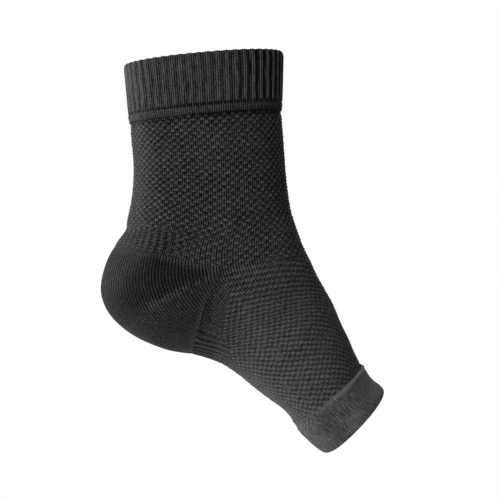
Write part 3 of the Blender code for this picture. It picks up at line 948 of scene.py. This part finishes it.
seat = TOE_CUFF_LENGTH - TOE_CUFF_LIP
outside = CLEARANCE + TOE_LAYER
face = np.linspace(TOE_CUFF_LENGTH, TOE_ROLL, 44)
lining = np.linspace(TOE_ROLL, seat, 12)
behind, rise = join_profile(
    [
        (face, 0 * face + outside),
        rolled_edge(TOE_ROLL, outside, 11),
        (lining, 0 * lining - WALL),
        ([seat], [SEAT_GAP]),
        ([TOE_CUFF_LENGTH - 0.1 * MM], [SEAT_GAP]),
    ]
)
turns = np.arange(TOE_COLUMNS) / TOE_COLUMNS - 0.5
places = np.array([toe_place(value) for value in behind])[None, :] + 0 * turns[:, None]
turn = turns[:, None] + 0 * places
off_sole = np.abs(turn)
on_face = (rise > 0.5 * outside)[None, :]
from_lip = (TOE_CUFF_LENGTH - behind)[None, :]
print(len(behind), "points round the toe cuff's profile")

# %% Welt and last tuck rows
WELT_HEIGHT = 0.65 * MM
WELT_WIDTH = 2.8 * MM
ENDS_ROUND = 60

over_foot = smooth_step(off_sole, 0.18, 0.33)
under_foot = smooth_fall(off_sole, 0.18, 0.28)
welt = hump(from_lip - WELT_WIDTH * 0.45, WELT_WIDTH * 0.34) * over_foot * on_face
toe_course = FOOT_COURSES + (seat - behind)[None, :] / FOOT_COURSE + 0 * turn
last_tucks = pillows(turn * PILLOWS_ROUND, toe_course, FOOT_TWIST)
uneven_ends = 4 * MM * (scatter(turn * ENDS_ROUND, 0 * turn) - 0.5)
knit_on = under_foot * smooth_fall(from_lip + uneven_ends, 3 * MM, 9 * MM) * on_face
print("the welt is", round(WELT_WIDTH * 1000, 1), "mm wide and", round(WELT_HEIGHT * 1000, 2), "mm high")

# %% Toe cuff tone and lift
TOE_TONE = 0.07
TOWARDS_EDGE_PAINTED_LIGHT = 0.07
WELT_PAINTED_HIGHLIGHT = 1.0
UNDER_FOOT_PAINTED_SHADE = 0.30
SIDE_DARKER = 0.17
WAIST_DEPTH = 0.6 * MM

# It's lightest on the welt, as a painted highlight, and towards the edge, as painted light. It's darker under
# the foot, as painted shade, and at its sides.
to_edge = smooth_fall(behind, 2 * MM, 18 * MM)[None, :]
beside = smooth_step(off_sole, 0.17, 0.22) * smooth_fall(off_sole, 0.30, 0.37)
toe_tone = TOE_TONE + TOWARDS_EDGE_PAINTED_LIGHT * to_edge + WELT_PAINTED_HIGHLIGHT * welt
toe_tone = toe_tone - UNDER_FOOT_PAINTED_SHADE * under_foot - SIDE_DARKER * beside
toe_tone = blend(toe_tone, 0.7 * last_tucks - 0.45, knit_on * 0.85)
toe_tone = np.where(on_face, toe_tone, INNER_TONE)
tuck_in = smooth_step(from_lip, 0.0, 2.4 * MM)
lowered = 0.8 * MM * under_foot * smooth_fall(from_lip, 1 * MM, 8 * MM)
waist = hump(behind - 12 * MM, 4.5 * MM) - 0.8 * hump(behind - 3.5 * MM, 3 * MM)
toe_lift = rise - on_face * ((1 - tuck_in) * (outside - 0.6 * MM) + lowered * tuck_in)
toe_lift -= on_face * WAIST_DEPTH * waist[None, :] * (1 - 0.5 * under_foot)
toe_lift += knit_on * PILLOW_HEIGHT * (last_tucks - MIDDLE_HEIGHT) + welt * WELT_HEIGHT
print("the toe cuff stands out up to", round(float(toe_lift.max()) * 1000, 2), "mm")

# %% Toe cuff
TOE_WALES = 170
TOE_STITCH = 0.9 * MM
EXTRA_WIDTH = 0.3  # the share by which stitches are wider on the sole and over the foot

wale = TOE_WALES * (turn - EXTRA_WIDTH * np.sin(4 * np.pi * turn) / (4 * np.pi))
stitches = np.stack([wale, count_along(behind, rise, TOE_STITCH) + 0 * turn], axis=-1)
toe_cuff = make_cloth("toe_cuff_knit", cloth_points(places, turn, toe_lift), stitches, toe_tone, True)
toe_girth = girth_at(SECTION_NAMES.index("toe_cuff_middle"))
finish_cloth(toe_cuff, "toe_cuff", (toe_girth, TOE_CUFF_LENGTH))

# %% [markdown]
# ## Black yarn
#
# The yarn is spun-dyed polyamide round an elastane core: nearly black, matt, with a slight fuzz that
# lightens it at grazing angles. Each stitch is a small V of two yarns. The stitch map counts stitches, so
# the V follows from it: two legs per unit across, slanting by part of a row, and parted from row to row.
# The tone is a sum: the relief, the stitch, the fuzz of fibres, broad patches, and streaks, because no two
# wales take the light alike. It then runs through a ramp from the black between the yarns, painted shade, to
# their tops.

# %% Yarn pattern
MATH = "ShaderNodeMath"
TIMES = {"operation": "MULTIPLY"}
TIMES_PLUS = {"operation": "MULTIPLY_ADD"}
V_SLANT = 1.1
CREASE_DEPTH = 0.35


def stitch_pattern(tree, across, up, parting):
    """From 0 in the gaps to 1 on top of a yarn. Parting is how deep the gaps between rows are."""
    within = add_node(tree, MATH, {"operation": "FRACT"}, i0=across)
    slope = add_node(tree, MATH, {"operation": "PINGPONG"}, i0=within.outputs[0], i1=0.5)
    slanted = add_node(tree, MATH, TIMES_PLUS, i0=slope.outputs[0], i1=V_SLANT, i2=up)
    waves = []
    for source, speed in ((slanted.outputs[0], math.pi), (across, math.pi), (across, 2 * math.pi)):
        angle = add_node(tree, MATH, TIMES, i0=source, i1=speed)
        sine = add_node(tree, MATH, {"operation": "SINE"}, i0=angle.outputs[0])
        waves.append(add_node(tree, MATH, {"operation": "ABSOLUTE"}, i0=sine.outputs[0]).outputs[0])
    row, wale, leg = waves
    crease = add_node(tree, MATH, TIMES_PLUS, i0=leg, i1=CREASE_DEPTH, i2=1 - CREASE_DEPTH)
    parted = add_node(tree, MATH, TIMES, i0=wale, i1=crease.outputs[0])
    rowed = add_node(tree, MATH, TIMES_PLUS, i0=row, i1=parting, i2=1 - parting)
    both = add_node(tree, MATH, TIMES, i0=rowed.outputs[0], i1=parted.outputs[0])
    return add_node(tree, MATH, {"operation": "POWER"}, i0=both.outputs[0], i1=0.9)


print("the legs of a stitch slant by", V_SLANT / 2, "of a row")

# %% [markdown]
# ## Fibres, tone and finish of the yarn
#
# A real fibre is about 0.02 mm thick, far too fine for the picture. The fibre noise is drawn 0.9 mm wide,
# which is as coarse as it has to be to show. Two bumps carry the light: the stitch, half a millimetre deep,
# and the fibres on it. A dull dyed yarn has next to no gloss, so its roughness is high and its specular
# level low, and a trace of sheen stands for the fuzz.

# %% Yarn material
NOISE = "ShaderNodeTexNoise"
BUMP = "ShaderNodeBump"
STITCH_DEPTH = 0.5 * MM
FIBRE_SIZE = 0.9 * MM
FIBRE_DEPTH = 0.12 * MM
PATCH_SIZE = 14 * MM
RELIEF_SHARE = 0.62
PATCH_SHARE = 0.16
STREAK_SCALE = 1.7
STREAK_SLOWNESS = 0.12
CONTRAST = 1.45
DARKER = 0.70
FUZZ_DARKER = 0.725
RAMP_KNEE = 0.8


def yarn_material(name, parting, stitch_share, fuzz, streaks, lightest):
    """Knitted yarn. Parting is the depth of the gaps between rows, and lightest is the tone of its tops.

    Stitch share, fuzz and streaks say how much stitches, fibres and single wales add to its light and dark.
    """
    made = bpy.data.materials.new(name)
    made.use_nodes = True
    tree = made.node_tree
    stitches = add_node(tree, "ShaderNodeUVMap", {"uv_map": "stitches"})
    split = add_node(tree, "ShaderNodeSeparateXYZ", i0=stitches.outputs["UV"])
    across, up = split.outputs["X"], split.outputs["Y"]
    stitch = stitch_pattern(tree, across, up, parting)
    place = add_node(tree, "ShaderNodeTexCoord").outputs["Object"]
    fibre = add_node(tree, NOISE, Vector=place, Scale=1 / FIBRE_SIZE, Detail=2.0, Roughness=0.6)
    patch = add_node(tree, NOISE, Vector=place, Scale=1 / PATCH_SIZE, Detail=2.0)
    along = add_node(tree, MATH, TIMES, i0=up, i1=STREAK_SLOWNESS)
    drawn_out = add_node(tree, "ShaderNodeCombineXYZ", X=across, Y=along.outputs[0]).outputs[0]
    flat = {"noise_dimensions": "2D"}
    odd_wale = add_node(tree, NOISE, flat, Vector=drawn_out, Scale=STREAK_SCALE, Detail=1.0, Roughness=0.6)
    relief = add_node(tree, "ShaderNodeAttribute", {"attribute_name": "relief"})
    tone = add_node(tree, MATH, TIMES, i0=relief.outputs["Fac"], i1=RELIEF_SHARE)
    for source, share in ((stitch, stitch_share), (fibre, fuzz), (patch, PATCH_SHARE), (odd_wale, streaks)):
        tone = add_node(tree, MATH, TIMES_PLUS, i0=source.outputs[0], i1=share, i2=tone.outputs[0])
    # More fuzz also adds light on the whole, which is taken off again.
    darker = DARKER + FUZZ_DARKER * fuzz
    scaled = add_node(tree, MATH, TIMES_PLUS, i0=tone.outputs[0], i1=CONTRAST, i2=-darker)
    ramp = add_node(tree, "ShaderNodeValToRGB", i0=scaled.outputs[0])
    low, high = ramp.color_ramp.elements
    low.position, low.color = 0.0, linear("#010101")
    high.position, high.color = 1.0, linear(lightest)
    # Above the knee the ramp climbs faster to the lightest tone, a painted highlight on the tops of the
    # pillows and yarns.
    ramp.color_ramp.elements.new(RAMP_KNEE).color = linear("#4a4a4b")
    yarns = add_node(tree, BUMP, Height=stitch.outputs[0], Distance=STITCH_DEPTH, Strength=0.9)
    fibres = add_node(tree, BUMP, Height=fibre.outputs[0], Distance=FIBRE_DEPTH, Strength=0.6)
    tree.links.new(yarns.outputs["Normal"], fibres.inputs["Normal"])
    shader = tree.nodes["Principled BSDF"]
    tree.links.new(ramp.outputs["Color"], shader.inputs["Base Color"])
    tree.links.new(fibres.outputs["Normal"], shader.inputs["Normal"])
    finish = {"Roughness": 0.75, "Specular IOR Level": 0.08, "Sheen Weight": 0.01, "Sheen Roughness": 0.55}
    for socket, value in finish.items():
        shader.inputs[socket].default_value = value
    shader.inputs["Sheen Tint"].default_value = linear("#d8d8dc")
    return made


# The rib is soft and fuzzy, the tuck knit is bulky, the plain knit is smooth, and the toe's is streaky, with
# lighter tops for the painted highlight on its welt.
rib_yarn = yarn_material("black_polyamide_rib_knit", 0.4, 0.6, 0.9, 0.4, "#5a5a5b")
tuck_yarn = yarn_material("black_polyamide_tuck_knit", 0.5, 0.68, 1.1, 0.05, "#5a5a5b")
plain_yarn = yarn_material("black_polyamide_plain_knit", 0.4, 0.85, 0.6, 0.08, "#5a5a5b")
toe_yarn = yarn_material("black_polyamide_toe_knit", 0.3, 1.0, 0.5, 0.7, "#6c6c6e")
for piece, yarn in (
    (leg_cuff, rib_yarn),
    (leg_sleeve, tuck_yarn),
    (foot_sleeve, tuck_yarn),
    (heel_pocket, plain_yarn),
    (toe_cuff, toe_yarn),
):
    piece.data.materials.append(yarn)
print("yarns:", rib_yarn.name, tuck_yarn.name, plain_yarn.name, toe_yarn.name)
